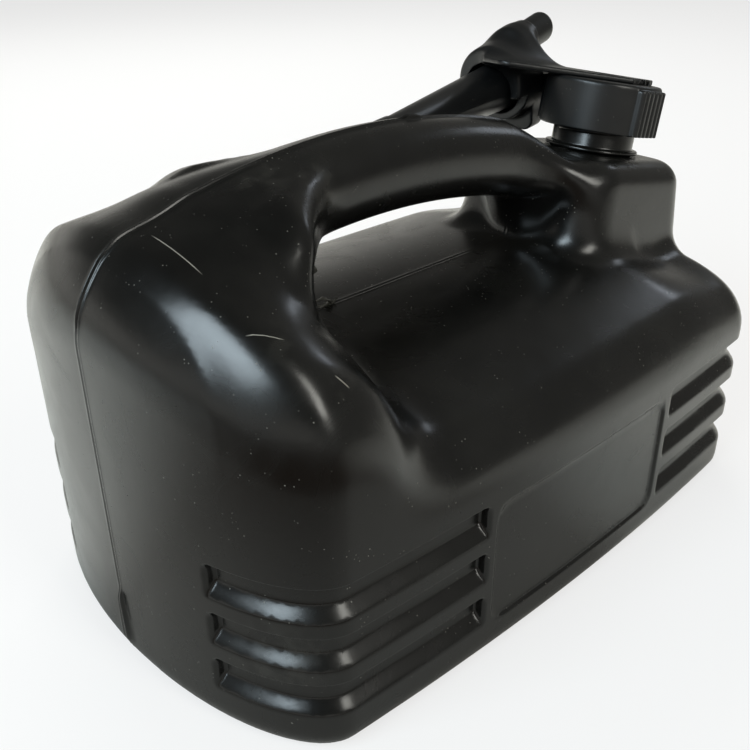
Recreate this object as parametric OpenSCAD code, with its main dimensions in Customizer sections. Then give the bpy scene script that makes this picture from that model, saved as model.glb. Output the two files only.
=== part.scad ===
// Five litre plastic fuel can, blow moulded in one piece, with a screw cap on a leaning neck
// and a pouring spout stowed in a holder that clips on top of the cap.
// X runs along the can with the neck at +X, Z is up, and the origin is under the middle of the base.

/* [Can body] */
// Length of the can
can_l = 285; // [270:1:300]
// Width of the can
can_w = 177; // [165:1:190]
// Thickness of the blown wall
wall = 2.0; // [1.6:0.1:2.4]
// How far each end bulges beyond the straight part of the sides
end_bulge = 32; // [26:1:38]
// How much narrower the ends are than the middle, on each side
side_bow = 7.5; // [4:0.5:10]
// Radius of the edge round the base
base_r = 8; // [6:0.5:10]
// Height of the hollow in the middle of the base
base_rise = 1.8; // [1:0.1:3]

/* [Grip bands] */
// Number of bands that wrap round each corner
band_n = 3; // [2:1:3]
// Height of the top edge of the highest band
band_top = 67.5; // [64:0.5:70]
// Distance from one band's top edge to the next
band_pitch = 19; // [17:0.5:20]
// Depth of the bands
band_depth = 4; // [2:0.5:5]
// Height of the flat floor of a band
band_floor = 8; // [7:0.5:9]
// Height of the slope that leads out of a band
band_ramp = 5; // [4:0.5:6]
// Distance of the bands' side ends from the middle of the can
band_x = 54.7; // [53:0.1:60]
// Distance of the bands' end-face ends from the middle of the can
band_y = 46.6; // [44:0.1:52]
// Height of the sharp edge over each band
step_h = 0.9; // [0.6:0.1:1.2]

/* [Label panel] */
// Half length of the panel on each long side
panel_x = 49.9; // [40:0.1:51]
// Height of the panel's lower edge
panel_z0 = 14.9; // [12:0.1:20]
// Height of the panel's upper edge
panel_z1 = 64.9; // [55:0.1:66]
// Depth of the panel
panel_depth = 1.2; // [0.8:0.1:1.6]

/* [Top] */
// Height of the saddle under the handle
saddle_z = 106.5; // [102:0.5:110]
// Fall of the saddle at the can's sides
saddle_fall = 17; // [12:1:20]
// Height of the handle's highest point
handle_z = 167.8; // [164:0.1:172]
// Place of the handle's highest point along the can
handle_x = -30; // [-36:1:-24]
// Fall of the ridge line for each millimetre squared from its highest point
ridge_fall = 0.00173; // [0.0015:0.00001:0.0019]
// Fall of the hump's top towards the sides
hump_crown = 0.0044; // [0.0036:0.0001:0.0052]
// Distance from the rear end to the foot of the hump's front face
hump_l = 68.5; // [64:0.5:74]
// How far that foot sweeps back towards the sides
hump_sweep = 12; // [8:1:20]
// Steepness of the hump's front face
hump_slope = 66; // [58:1:72]
// Radius of the hump's front edge
hump_front_r = 28; // [22:1:32]
// Height over which the front face runs out into the saddle
hump_fillet = 26; // [16:1:34]
// Radius of the shoulder round the saddle
shoulder_r = 17; // [14:0.5:19]
// Radius of the shoulder round the hump
hump_r = 22; // [18:0.5:25]
// Height of the deck in front of the saddle
deck_z = 94; // [90:0.5:98]

/* [Handle] */
// Thickness of the handle from top to bottom
handle_t = 30.5; // [28:0.5:33]
// Width of the handle
handle_w = 33; // [30:0.5:36]
// Distance from the rear end to where the handle's underside starts to bend down
gap_rear_l = 93.5; // [90:0.5:98]
// Distance from the neck back to where it starts to bend down at the front
gap_front_l = 63.7; // [60:0.1:68]
// Length of the bends at the two ends of the finger gap
gap_bend = 18; // [14:1:24]
// How much further back the gap's rear end is at the handle's sides than in its middle
leg_round = 18; // [10:1:22]
// The same for the gap's front end
toe_round = 8; // [4:1:12]
// Length over which the rear root spreads
rear_root = 46; // [40:1:52]
// Length over which the front root spreads
front_root = 40; // [34:1:46]

/* [Neck] */
// Distance from the front end back to where the neck's axis meets the boss
neck_back = 31.8; // [30:0.1:34]
// Height of the boss at the neck's axis
boss_z = 133.8; // [131:0.1:136]
// Lean of the neck towards the front
neck_lean = 11; // [9:0.5:13]
// Outer radius of the neck, without its thread
neck_r = 18; // [17:0.1:19]
// Bore radius of the neck
bore_r = 15.6; // [14.5:0.1:16.2]
// Height of the neck above the boss
neck_h = 25.5; // [24:0.5:27]
// Radius of the bead at the foot of the neck
bead_r = 20.6; // [19.8:0.1:21.4]
// Thickness of the bead
bead_t = 1.4; // [1:0.1:2]
// Half width of the boss under the neck
boss_w = 35.5; // [33:0.5:38]
// Reach of the boss behind the neck's axis
boss_back = 44.5; // [42:0.5:50]
// Reach of the boss in front of the neck's axis
boss_front = 28; // [24:0.5:29]
// Radius of the boss's upright corners
boss_corner = 16; // [14:0.5:19]
// Radius of the boss's top edge
boss_edge = 9; // [7:0.5:10]

/* [Cap] */
// Outer radius of the cap
cap_r = 25; // [24.4:0.1:25.6]
// Inner radius of the cap's skirt, clear of the neck's thread
cap_in_r = 20.2; // [19.9:0.1:21]
// Height of the cap's lower edge above the boss
cap_z0 = 9.5; // [8:0.5:11]
// Thickness of the cap's top
cap_top = 3; // [2.5:0.1:3.5]
// Reach of the grip wing from the axis
wing_r = 26.4; // [26:0.1:27.4]
// Width of the grip wing
wing_w = 19; // [16:0.5:22]
// Thickness of the sealing disc
seal_t = 1.6; // [1.2:0.1:2]
// Radius of the stud that carries the holder
stud_r = 7; // [6.5:0.1:7.5]
// Radius of the stud's lip
stud_lip = 8.1; // [7.9:0.1:8.4]

/* [Spout holder] */
// Radius of the plate on top of the cap
plate_r = 11.5; // [11:0.5:13]
// Thickness of the plate
plate_t = 2.4; // [2.2:0.1:2.8]
// Wall thickness of the hood and the socket
hood_t = 2; // [1.8:0.1:2.4]
// Length of the hood
hood_l = 23; // [21:1:26]
// Growth of the hood's radius towards the neck
hood_flare = 4.5; // [3:0.5:5]
// Height of the hood's own axis over the spout's
hood_lift = 2; // [1:0.5:3]
// Depth of the socket that grips the spout
socket_d = 14; // [12:0.5:16]
// Radius of the horn in front of the socket
horn_r = 8; // [7:0.5:8.5]
// Length of the horn
horn_l = 17; // [14:1:20]

/* [Spout] */
// Length of the spout
spout_l = 128; // [120:1:134]
// Radius of the spout's wide end
spout_root_r = 11.2; // [10.8:0.1:11.4]
// Radius of the spout just before the step at its tip
spout_mid_r = 7.2; // [7:0.1:7.6]
// Radius of the spout's mouth
spout_tip_r = 5.2; // [4.8:0.1:5.6]
// Length of the narrow tip
spout_tip_l = 26; // [24:1:30]
// Wall thickness of the spout
spout_wall = 1.7; // [1.4:0.1:2]
// Radius of the flange on the wide end
flange_r = 12.2; // [12:0.1:12.6]
// Thickness of the flange
flange_t = 2.2; // [1.8:0.1:3]
// Distance of the spout's axis from the can's middle at the socket
spout_y = 44; // [43:0.5:48]
// Height of the spout's axis over the boss at the socket
spout_h = 23.2; // [22.5:0.1:24]
// Distance of the socket's mouth behind the neck
spout_back = 14.7; // [14:0.1:15.5]
// Angle of the spout away from the can's middle plane
spout_splay = 5; // [3:0.5:6]
// Rise of the spout towards the neck
spout_rise = 6; // [5:0.5:7]

/* [Hidden] */

half_l = can_l / 2;
half_w = can_w / 2;
neck_x = half_l - neck_back;
hump_foot = hump_l - half_l;
gap_x0 = gap_rear_l - half_l;
gap_x1 = neck_x - gap_front_l;
spout_x = neck_x - spout_back;
spout_z = boss_z + spout_h;
spine_end = 57.5;               // distance of the spine's ends from the ends of the can
spine = half_l - spine_end;     // half length of the line that the top closes on
turn_gap = 0.1;                 // running clearance of the stud in the plate
sweep_gap = 0.8;                // clearance of the cap's lugs under the holder
fit_gap = 0.1;                  // clearance of the flange in the socket and the disc in the cap

function smooth(t) = let(u = min(1, max(0, t))) u * u * (3 - 2 * u);
function mix(a, b, t) = a + (b - a) * t;
function sorted(v) = len(v) <= 1 ? v :
    let(p = v[floor(len(v) / 2)])
    concat(sorted([for (e = v) if (e < p) e]), [p], sorted([for (e = v) if (e > p) e]));
function reversed(v) = [for (i = [len(v) - 1:-1:0]) v[i]];

// Plan outline: straight sides that bow in towards half-elliptical ends.
// A station is [x, y, share of the bands' depth, share of the panel's depth].
band_phi = asin(band_y / half_w);
function end_point(phi) = [half_l - end_bulge + end_bulge * cos(phi), half_w * sin(phi)];
function bowed(p) = [p[0], p[1] * (1 - side_bow / half_w * pow(p[0] / half_l, 2))];
function station(p, band, panel) = concat(bowed(p), [band, panel]);
corner_step = 0.8;              // degrees on either side of a band's end
side_step = 0.6;                // the same on the straight side, in millimetres
side_stations = 3;              // stations between the bands' end and each front corner
hump_stations = 5;              // the same along the hump, which needs more
corner_start = half_l - end_bulge;
function quarter(between) = concat(
    [for (phi = [0, band_phi / 2, band_phi - corner_step]) station(end_point(phi), 0, 0)],
    [station(end_point(band_phi + corner_step), 1, 0)],
    [for (k = [1:5]) station(end_point(mix(band_phi, 90, k / 5)), 1, 0)],
    [for (k = [1:between]) station([mix(corner_start, band_x, k / (between + 1)), half_w], 1, 0)],
    [station([band_x + side_step, half_w], 1, 0), station([band_x - side_step, half_w], 0, 0)],
    [station([panel_x + side_step, half_w], 0, 0), station([panel_x - side_step, half_w], 0, 1)],
    [station([panel_x / 2, half_w], 0, 1)]);
function flip(list, sx, sy) = [for (s = list) [s[0] * sx, s[1] * sy, s[2], s[3]]];
function tail(list) = [for (i = [1:len(list) - 1]) list[i]];
front = quarter(side_stations);
rear = quarter(hump_stations);
outline = concat(front, reversed(flip(tail(rear), -1, 1)),
                 flip(rear, -1, -1), reversed(flip(tail(front), 1, -1)));
around = len(outline);

// Moves a point of the outline inwards towards the spine by d millimetres.
function inset(x, y, d) =
    let(m = min(spine, max(-spine, x)))
    [m + (x - m) * (1 - d / (half_l - spine)), y * (1 - d / half_w)];

ramp_draw = 1.4;                // how much longer the ramps are inside, so that the wall stays full
// Depth profile of the bands and the panel over the height, for the outside (t = 0)
// and for the inside of a wall of thickness t.
function band_edge(k) = band_top - k * band_pitch;
function ramped(z, z0, z1, z2, z3) =
    z <= z0 || z >= z3 ? 0 : z < z1 ? (z - z0) / (z1 - z0) : z <= z2 ? 1 : (z3 - z) / (z3 - z2);
function band_share(z, t) = max([for (k = [0:band_n - 1]) let(e = band_edge(k) + t)
    ramped(z, e - band_floor - band_ramp - ramp_draw * t, e - band_floor - ramp_draw * t, e - step_h, e)]);
function panel_share(z) = ramped(z, panel_z0, panel_z0 + step_h, panel_z1 - step_h, panel_z1);
function band_rows(t) = [for (k = [0:band_n - 1]) let(e = band_edge(k) + t)
    each [e - band_floor - band_ramp - ramp_draw * t, e - band_floor - ramp_draw * t, e - step_h, e]];
panel_rows = [panel_z0, panel_z0 + step_h, panel_z1 - step_h, panel_z1];

// Height of the top surface, without the handle and the boss.
deck_x0 = 70;                   // where the saddle starts to fall to the deck
deck_run = 45;                  // length of that fall
deck_fall = 6;                  // fall of the deck at the can's sides
function ridge(x) = handle_z - ridge_fall * pow(x - handle_x, 2);
function saddle(y) = saddle_z - saddle_fall * pow(y / half_w, 2);
function deck(x, y) = 
    mix(saddle(y), deck_z - deck_fall * pow(y / half_w, 2), smooth((x - deck_x0) / deck_run));
// The hump's front face leans back, and an arc takes it over to the crowned top. For the inside of a
// wall of thickness t, the top and the face move in by t and the arc's radius shrinks by t.
// Ahead counts how far a place is in front of where that arc begins.
function crown(x, y) = ridge(x) - hump_crown * y * y;
function arc_run(t) = (hump_front_r - t) * sin(hump_slope);
function arc_fall(t) = (hump_front_r - t) * (1 - cos(hump_slope));
function face_x(x, y, t) = hump_foot - hump_sweep * pow(y / half_w, 2)
    - (crown(x, y) - t - saddle_z) / tan(hump_slope) - t / sin(hump_slope);
function ahead(x, y, t) = x - face_x(x, y, t) + arc_run(t) - arc_fall(t) / tan(hump_slope);
function front_fall(u, t) =
    u <= 0 ? 0 : u < arc_run(t) ? hump_front_r - t - sqrt(pow(hump_front_r - t, 2) - u * u)
    : arc_fall(t) + (u - arc_run(t)) * tan(hump_slope);
function soft_max(a, b, reach) =
    let(s = min(1, max(0, 0.5 + (b - a) / (2 * reach)))) mix(a, b, s) + reach * s * (1 - s);
function top_z(x, y, t) =
    soft_max(deck(x, y) - t, crown(x, y) - t - front_fall(ahead(x, y, t), t), hump_fillet);
function edge_r(x, y) = mix(hump_r, shoulder_r, smooth(ahead(x, y, 0) / hump_front_r));

base_flat = 30;                 // width of the foot that the can stands on
base_dish = 36;                 // distance from the can's side to the full hollow
// Rings of the can from the hollow in the base to the spine.
function base_ring(z, d) = [for (s = outline) concat(inset(s[0], s[1], d), [z])];
function wall_ring(z, t) = [for (s = outline)
    let(d = t + band_depth * s[2] * band_share(z, t) + panel_depth * s[3] * panel_share(z))
    concat(inset(s[0], s[1], d), [z])];
function shoulder_ring(a, t) = [for (s = outline)
    let(r = edge_r(s[0], s[1]) - t, p = inset(s[0], s[1], t + r * (1 - cos(a))))
    concat(p, [top_z(p[0], p[1], t) - r * (1 - sin(a))])];
function crown_ring(f, t) = [for (s = outline)
    let(d = edge_r(s[0], s[1]), m = min(spine, max(-spine, s[0])), q = inset(s[0], s[1], d),
        p = [m + (q[0] - m) * f, q[1] * f])
    concat(p, [top_z(p[0], p[1], t)])];
function can_rings(t) = concat(
    [base_ring(base_rise + t, base_dish), base_ring(t, base_flat)],
    [for (a = [0, 35, 65]) base_ring(t + (base_r - t) * (1 - cos(a)), t + (base_r - t) * (1 - sin(a)))],
    [for (z = sorted(concat([base_r], band_rows(t), panel_rows))) wall_ring(z, t)],
    [for (a = [0, 30, 60, 90]) shoulder_ring(a, t)],
    [for (f = [0.75, 0.5, 0.27, 0.08]) crown_ring(f, t)]);

// Skins a stack of closed rings. The first ring is closed by a strip across, and so is the last.
function across(n, base) = [for (i = [0:n / 2 - 1])
    [base + i, base + (i + 1) % n, base + (n - i - 1) % n, base + (n - i) % n]];
module skin(rings) {
    n = len(rings[0]);
    m = len(rings);
    sides = [for (j = [0:m - 2]) for (i = [0:n - 1])
        [j * n + i, (j + 1) * n + i, (j + 1) * n + (i + 1) % n, j * n + (i + 1) % n]];
    // Each quad is cut in two, since its corners need not lie in one plane
    quads = concat(sides, [for (q = across(n, 0)) q], [for (q = across(n, (m - 1) * n)) reversed(q)]);
    triangles = [for (q = quads) each
        [if (q[0] != q[1] && q[1] != q[2] && q[0] != q[2]) [q[0], q[1], q[2]],
         if (q[0] != q[2] && q[2] != q[3] && q[0] != q[3]) [q[0], q[2], q[3]]]];
    polyhedron([for (r = rings) each r], triangles, convexity = 6);
}

// The handle is a loft of oval sections across the can.
handle_sides = 16;
rear_tuck = 20.5;               // distance of the handle's rear end inside the can's
rear_end = rear_tuck - half_l;
front_tuck = 26.7;              // distance of its front end behind the neck
front_end = neck_x - front_tuck;
nose_back = 66.7;               // distance behind the neck where the handle's top starts to drop
nose_x = neck_x - nose_back;
nose_run = 40;                  // length of that drop
nose_fall = 14;                 // the drop at its end
nose_bend = 1.3;
rear_dip = 12;                  // how far the handle's end sinks into the hump
dip_l = 44.5;                   // distance from the can's rear end to where it starts to sink
dip_x = dip_l - half_l;
dip_run = 30;
rear_drop = 36;                 // fall of the underside at the back of the finger gap
front_drop = 30;                // the same at the front
front_lead = 10;                // how far the front root starts before the bend
rear_spread = 28;               // growth of the handle's half width in the rear root
front_spread = 14;              // the same in the front root
rear_bend = 1.3;
front_bend = 1.4;
leg_most = 1.8;                 // most times that roundness that the legs' sides reach
oval = 0.85;                    // 1 gives an ellipse, less gives fuller corners
function rear_share(x) = smooth((gap_x0 - x) / rear_root);
function front_share(x) = smooth((x - gap_x1 + front_lead) / front_root);
function handle_top(x) = ridge(x)
    - nose_fall * pow(max(0, x - nose_x) / nose_run, nose_bend) - rear_dip * smooth((dip_x - x) / dip_run);
// How far the gap's end is from where it begins in the middle, in a wall of thickness t.
function leg_reach(y, t, round) = t + round * min(leg_most, pow(2 * (abs(y) + t) / handle_w, 2));
function handle_under(x, y, t) = ridge(x) - handle_t + t
    - rear_drop * smooth((gap_x0 - x - leg_reach(y, t, leg_round)) / gap_bend)
    - front_drop * smooth((x - gap_x1 - leg_reach(y, t, toe_round)) / gap_bend);
function handle_half(x) = handle_w / 2
    + rear_spread * pow(rear_share(x), rear_bend) + front_spread * pow(front_share(x), front_bend);
function handle_ring(x, t) =
    let(top = handle_top(x) - t, half = handle_half(x) - t)
    [for (k = [0:handle_sides - 1])
        let(a = 360 * k / handle_sides, c = cos(a), s = sin(a), y = half * sign(c) * pow(abs(c), oval),
            low = handle_under(x, y, t))
        [x, y, (top + low) / 2 + (top - low) / 2 * sign(s) * pow(abs(s), oval)]];
handle_steps = 24;
module handle(t) {
    rings = [for (j = [0:handle_steps]) handle_ring(mix(rear_end, front_end, j / handle_steps), t)];
    skin(rings);
}

// The boss leans with the neck. Its own frame has its origin where the neck's axis meets its top.
module neck_frame() translate([neck_x, 0, boss_z]) rotate([0, neck_lean, 0]) children();
boss_depth = 44;
boss_draft = 3;                 // how far each side of the boss spreads over its depth
boss_toe = 7;                   // how much further its front face does, so that it stands upright
boss_sole = 1;
module boss(t) {
    r = boss_corner - t;
    e = boss_edge - t;
    profile = concat([[0, -boss_depth], [r + boss_draft, -boss_depth]],
        [for (a = [0:30:90]) [r - e * (1 - cos(a)), e * sin(a) - boss_edge]], [[0, -t]]);
    hull() for (sy = [-1, 1]) translate([0, sy * (boss_w - boss_corner), 0]) {
        translate([boss_corner - boss_back, 0, 0]) rotate_extrude($fn = 20) polygon(profile);
        translate([boss_front - boss_corner, 0, 0]) rotate_extrude($fn = 20) polygon(profile);
        translate([boss_front - boss_corner + boss_toe, 0, -boss_depth])
            cylinder(r = r + boss_draft, h = boss_sole, $fn = 20);
    }
}
module can_solid(t) {
    skin(can_rings(t));
    handle(t);
    neck_frame() boss(t);
}
hole_depth = 12;                // how far the cut through the boss's top reaches below and above it
module shell_mesh() resize([0, 0, 0]) difference() {
    can_solid(0);
    can_solid(wall);
    neck_frame() translate([0, 0, -hole_depth])
        cylinder(r = (bore_r + neck_r) / 2, h = 2 * hole_depth, $fn = 48);
}
bead_z = 0.6;                   // height of the bead's lower face over the boss
rim_edge = 0.8;                 // bevel round the neck's rim
module can_body() color("#17181a") {
    shell_mesh();
    neck_frame() rotate_extrude($fn = 96) polygon([
        [bore_r, -wall], [neck_r, -wall], [neck_r, bead_z], [bead_r, bead_z], [bead_r, bead_z + bead_t],
        [neck_r, bead_z + bead_t], [neck_r, neck_h - rim_edge], [neck_r - rim_edge, neck_h],
        [bore_r, neck_h]]);
}

// The cap hangs from the neck's rim by its sealing disc.
cap_roof = neck_h + seal_t;     // height of the underside of the cap's top
cap_z1 = cap_roof + cap_top;
cap_edge = 1.6;                 // bevel round the cap's top
foot_edge = 0.5;                // bevel round its lower edge
stud_h = 1.1;                   // height of the stud under its lip
stud_wall = 2.2;                // wall of the hollow stud
lip_t = plate_t - stud_h - 0.2; // thickness of the stud's lip
seal_r = cap_in_r - fit_gap;
wing_round = 4;
groove_n = 5;
groove_r = 0.7;
groove_pitch = 2.8;
module wing_plan() {
    difference() {
        union() {
            translate([-wing_w / 2, cap_in_r]) square([wing_w, wing_r - cap_in_r - wing_round]);
            translate([-wing_w / 2 + wing_round, cap_in_r])
                square([wing_w - 2 * wing_round, wing_r - cap_in_r]);
            for (side = [-1, 1]) translate([side * (wing_w / 2 - wing_round), wing_r - wing_round])
                circle(r = wing_round, $fn = 32);
        }
        for (k = [0:groove_n - 1]) translate([(k - (groove_n - 1) / 2) * groove_pitch, wing_r])
            circle(r = groove_r, $fn = 20);
    }
}
module screw_cap() color("#1b1c1e") neck_frame() {
    difference() {
        union() {
            rotate_extrude($fn = 96) polygon([
                [0, cap_z0], [cap_r - foot_edge, cap_z0], [cap_r, cap_z0 + foot_edge],
                [cap_r, cap_z1 - cap_edge], [cap_r - cap_edge, cap_z1], [0, cap_z1]]);
            for (side = [0, 180]) rotate([0, 0, side]) translate([0, 0, cap_z0])
                linear_extrude(cap_z1 - cap_z0 - cap_edge) wing_plan();
            translate([0, 0, cap_roof]) cylinder(r = stud_r, h = cap_top + stud_h, $fn = 64);
            translate([0, 0, cap_z1 + stud_h]) cylinder(r = stud_lip, h = lip_t, $fn = 64);
        }
        translate([0, 0, cap_z0 - 1]) cylinder(r = cap_in_r, h = cap_roof - cap_z0 + 1, $fn = 96);
        translate([0, 0, cap_z1]) cylinder(r = stud_r - stud_wall, h = plate_t, $fn = 48);
    }
}
module sealing_disc() color("#6f6a60") neck_frame()
    translate([0, 0, neck_h]) cylinder(r = seal_r, h = seal_t, $fn = 96);

// The spout's own frame has its origin in the socket's mouth, z towards the neck and -x upwards.
module spout_frame() translate([spout_x, spout_y, spout_z])
    rotate([0, 0, spout_splay]) rotate([0, 90 - spout_rise, 0]) children();
socket_in = flange_r + fit_gap;
socket_out = socket_in + hood_t;
hood_back = hood_l - socket_d - hood_t;
horn_lift = 15.5;               // height of the horn's axis over the spout's
horn_start = 9;                 // where the horn leaves the hood, counted from the socket's mouth
horn_end = socket_d + hood_t + horn_l;
horn_step = 1.4;                // step in radius near the horn's end
horn_tip = 6;                   // length of the horn beyond that step
hood_cut = 2;                   // depth under the spout's axis at which the hood ends behind the socket
canopy_x = 40;                  // reach of the canopy's flat edge behind the neck
canopy_y = 20;                  // distance of that edge from the neck's middle plane
canopy_r = 4;                   // radius of its corners
canopy_cut = 6;                 // how far its corners draw in beside the hood
module canopy_plan() hull() {
    circle(r = plate_r, $fn = 64);
    translate([-canopy_x, canopy_y + canopy_r]) circle(r = canopy_r, $fn = 24);
    translate([-canopy_x + canopy_cut, spout_y - canopy_cut]) circle(r = canopy_r, $fn = 24);
    translate([-canopy_r, spout_y - canopy_r]) circle(r = canopy_r, $fn = 24);
}
module spout_holder() color("#151618") difference() {
    union() {
        neck_frame() translate([0, 0, cap_z1]) linear_extrude(plate_t) canopy_plan();
        spout_frame() {
            translate([-hood_lift, 0, -hood_back])
                cylinder(r1 = socket_out, r2 = socket_out + hood_flare, h = hood_l, $fn = 72);
            translate([-horn_lift, 0, horn_start])
                cylinder(r = horn_r, h = horn_end - horn_tip - horn_start, $fn = 48);
            translate([-horn_lift, 0, horn_start])
                cylinder(r = horn_r - horn_step, h = horn_end - horn_start, $fn = 48);
        }
    }
    // Socket, and the open underside of the hood behind it
    spout_frame() {
        translate([0, 0, -hood_back - 1]) cylinder(r = socket_in, h = hood_back + socket_d + 1, $fn = 72);
        translate([hood_cut, -2 * socket_out, -hood_back - 1])
            cube([4 * socket_out, 4 * socket_out, hood_back + 1]);
    }
    // Room for the cap's lugs as it turns
    neck_frame() translate([0, 0, cap_z0]) cylinder(r = wing_r + sweep_gap, h = cap_z1 - cap_z0, $fn = 96);
    neck_frame() translate([0, 0, cap_z1 - 1]) cylinder(r = stud_r + turn_gap, h = plate_t + 2, $fn = 64);
    neck_frame() translate([0, 0, cap_z1 + stud_h - 0.1]) 
        cylinder(r = stud_lip + turn_gap, h = 2 * plate_t, $fn = 64);
}
spout_end = socket_d - spout_l;
spout_step = spout_end + spout_tip_l;
collar_l = 14;                  // length of the collar behind the spout's narrow tip
collar_h = 0.6;
tip_draw = 1.2;                 // step in radius from the collar to the tip
root_l = 6;                     // length of the straight part next to the flange
module pouring_spout() color("#101113") spout_frame() rotate_extrude($fn = 72) polygon([
    [spout_tip_r - spout_wall, spout_end], [spout_tip_r, spout_end], [spout_mid_r - tip_draw, spout_step],
    [spout_mid_r + collar_h, spout_step], [spout_mid_r + collar_h, spout_step + collar_l],
    [spout_mid_r, spout_step + collar_l], 
    [spout_root_r, socket_d - flange_t - root_l], [spout_root_r, socket_d - flange_t],
    [flange_r, socket_d - flange_t], [flange_r, socket_d], [spout_root_r - spout_wall, socket_d],
    [spout_root_r - spout_wall, socket_d - flange_t - root_l],
    [spout_mid_r - spout_wall, spout_step + collar_l],
    [spout_mid_r - tip_draw - spout_wall, spout_step]]);

can_body();
screw_cap();
sealing_disc();
spout_holder();
pouring_spout();
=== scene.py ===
"""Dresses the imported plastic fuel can: a blow-moulded body, its screw cap, and a stowed pouring spout.

Every shape is a signed field or a grid worked out with numpy in millimetres, in the CAD's own frame:
+X runs along the can to the neck, +Z is up, and the origin is on the floor under the base's middle.
"""

from __future__ import annotations

import logging
import math
from dataclasses import dataclass, field
from enum import Enum
from typing import Callable, Sequence

import bpy
import numpy as np
import openvdb
from mathutils import Matrix, Vector

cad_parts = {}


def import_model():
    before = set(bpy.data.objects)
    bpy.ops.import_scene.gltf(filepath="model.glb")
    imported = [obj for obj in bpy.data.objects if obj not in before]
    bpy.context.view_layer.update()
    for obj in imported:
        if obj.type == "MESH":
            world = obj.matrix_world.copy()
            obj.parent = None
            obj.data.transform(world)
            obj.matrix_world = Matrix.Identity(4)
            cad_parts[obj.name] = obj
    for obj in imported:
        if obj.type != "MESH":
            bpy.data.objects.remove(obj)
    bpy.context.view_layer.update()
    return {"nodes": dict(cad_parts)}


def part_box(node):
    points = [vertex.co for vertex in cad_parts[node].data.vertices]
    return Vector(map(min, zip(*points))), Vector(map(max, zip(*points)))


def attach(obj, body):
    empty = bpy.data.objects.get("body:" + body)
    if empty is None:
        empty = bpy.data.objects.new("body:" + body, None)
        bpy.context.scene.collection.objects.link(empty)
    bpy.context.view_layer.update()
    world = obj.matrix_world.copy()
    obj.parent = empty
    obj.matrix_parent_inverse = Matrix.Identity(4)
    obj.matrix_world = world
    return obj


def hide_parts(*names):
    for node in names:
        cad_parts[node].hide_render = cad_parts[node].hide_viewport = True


LOG = logging.getLogger("fuel_can")
MM = 0.001
CLOSEST_PLANES = 0.12
FIELD_REACH = 6.0
MOST_MOVE = 0.8
FLATTEST = 0.05
Array = np.ndarray
Field = Callable[[Array, Array, Array], Array]
Point = tuple[float, float, float]
SCRATCHES: tuple[tuple[Point, Point], ...] = (
    ((-118.0, -7.4, 153.9), (-118.0, -32.9, 149.3)),
    ((-120.7, -54.6, 139.5), (-112.2, -60.5, 137.5)),
    ((-104.7, -71.5, 128.5), (-101.9, -74.2, 124.5)))
PATCHES: tuple[tuple[Point, float, float], ...] = (
    ((-61.2, -18.1, 157.7), 16.0, 0.05),
    ((-112.0, -60.5, 137.5), 13.0, 0.035),
    ((-103.0, -72.0, 127.0), 8.0, 0.08),
    ((-126.1, -67.3, 38.7), 22.0, 0.04),
    ((-78.0, -8.2, 163.3), 14.0, 0.04))


class Body(Enum):
    """The bodies that pieces ride on."""

    CAN = "can"
    CAP = "cap"
    HOLDER = "holder"
    SPOUT = "spout"


def ease(t: Array) -> Array:
    """Goes smoothly from 0 to 1 while t does: 3 t squared less 2 t cubed."""
    u = np.clip(t, 0.0, 1.0)
    return u * u * (3.0 - 2.0 * u)


def blend(a: Array, b: Array, share: Array) -> Array:
    """Mixes a and b by share."""
    return a + (b - a) * share


def cut_round(a: Array, b: Array, radius: Array) -> Array:
    """Intersects two fields with their common edge rounded.

    Outside the rounding the result is the larger field. Inside it, it is the distance to an arc.

    Args:
        a: First field, negative inside.
        b: Second field.
        radius: Radius of the edge.

    Returns:
        The field of what lies inside both.
    """
    deep = np.minimum(np.maximum(a, b), -radius)
    return deep + np.hypot(np.maximum(a + radius, 0.0), np.maximum(b + radius, 0.0))


def join_round(a: Array, b: Array, reach: float) -> Array:
    """Joins two fields with a fillet: the smaller field, less a parabola where the two are within reach."""
    share = np.clip(0.5 + 0.5 * (b - a) / reach, 0.0, 1.0)
    return blend(b, a, share) - reach * share * (1.0 - share)


def levels(low: float, high: float, step: float, fine: Sequence[tuple[float, float, float]]) -> Array:
    """Places grid planes from low to high, step apart, and closer together where it is asked.

    Args:
        low: First plane.
        high: Last plane.
        step: Usual distance between planes.
        fine: Places as (centre, half width, distance between planes).

    Returns:
        The planes in rising order.
    """
    planes = np.linspace(low, high, int(round((high - low) / step)) + 1)
    for centre, half, close in fine:
        planes = planes[np.abs(planes - centre) > half + close / 2]
        count = int(round(2 * half / close)) + 1
        planes = np.concatenate([planes, np.linspace(centre - half, centre + half, count)])
    planes = np.unique(np.round(planes, 4))
    return planes[np.concatenate([[True], np.diff(planes) > CLOSEST_PLANES])]


def slope(shape: Field, x: Array, y: Array, z: Array, step: float = 0.02) -> Array:
    """Works out a field's gradient at points by central differences.

    Args:
        shape: The field.
        x: The points' first coordinates, and y and z the others.
        y: Second coordinates.
        z: Third coordinates.
        step: Distance to either side.

    Returns:
        One row of three for each point.
    """
    return np.stack([
        shape(x + step, y, z) - shape(x - step, y, z),
        shape(x, y + step, z) - shape(x, y - step, z),
        shape(x, y, z + step) - shape(x, y, z - step)], axis=-1) / (2 * step)


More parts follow.
